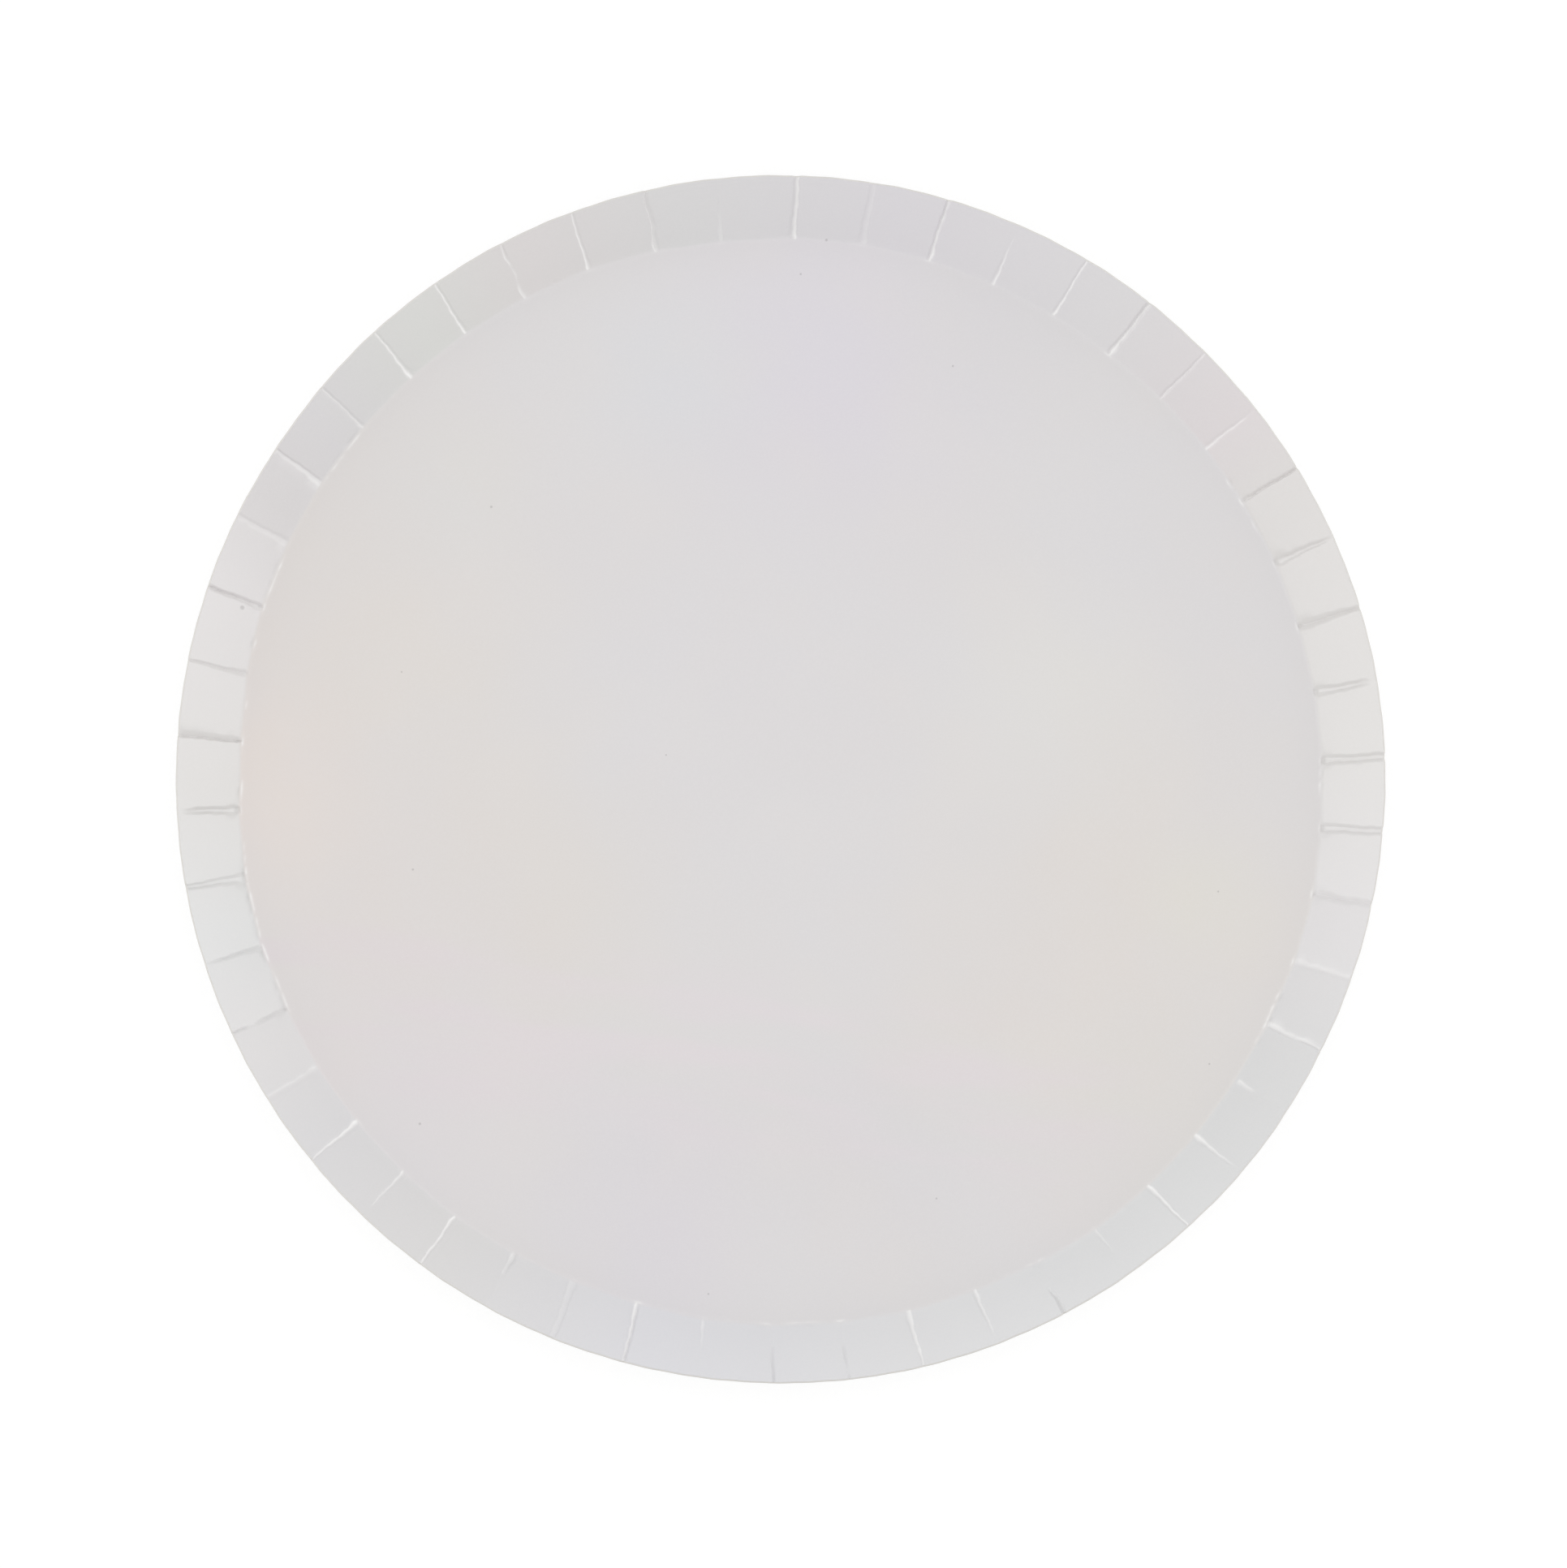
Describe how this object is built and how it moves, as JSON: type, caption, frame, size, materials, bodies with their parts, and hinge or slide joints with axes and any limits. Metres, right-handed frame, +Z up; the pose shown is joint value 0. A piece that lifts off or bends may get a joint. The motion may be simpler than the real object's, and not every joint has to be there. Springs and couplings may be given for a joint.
{
  "type": "paper plate",
  "caption": "Round disposable plate folded from one sheet of pearly white board: a flat base and a sloping rim of flat facets parted by narrow pressed creases.",
  "frame": {"origin": "centre of the base's underside", "axes": "+Z up out of the plate, along its axis; +X runs out along one crease of the rim"},
  "size_m": [0.229, 0.229, 0.0109],
  "materials": {
    "pearl_board": "satin pearl coating over white board"
  },
  "bodies": {
    "root": {"plate": "pearl_board"}
  },
  "joints": []
}
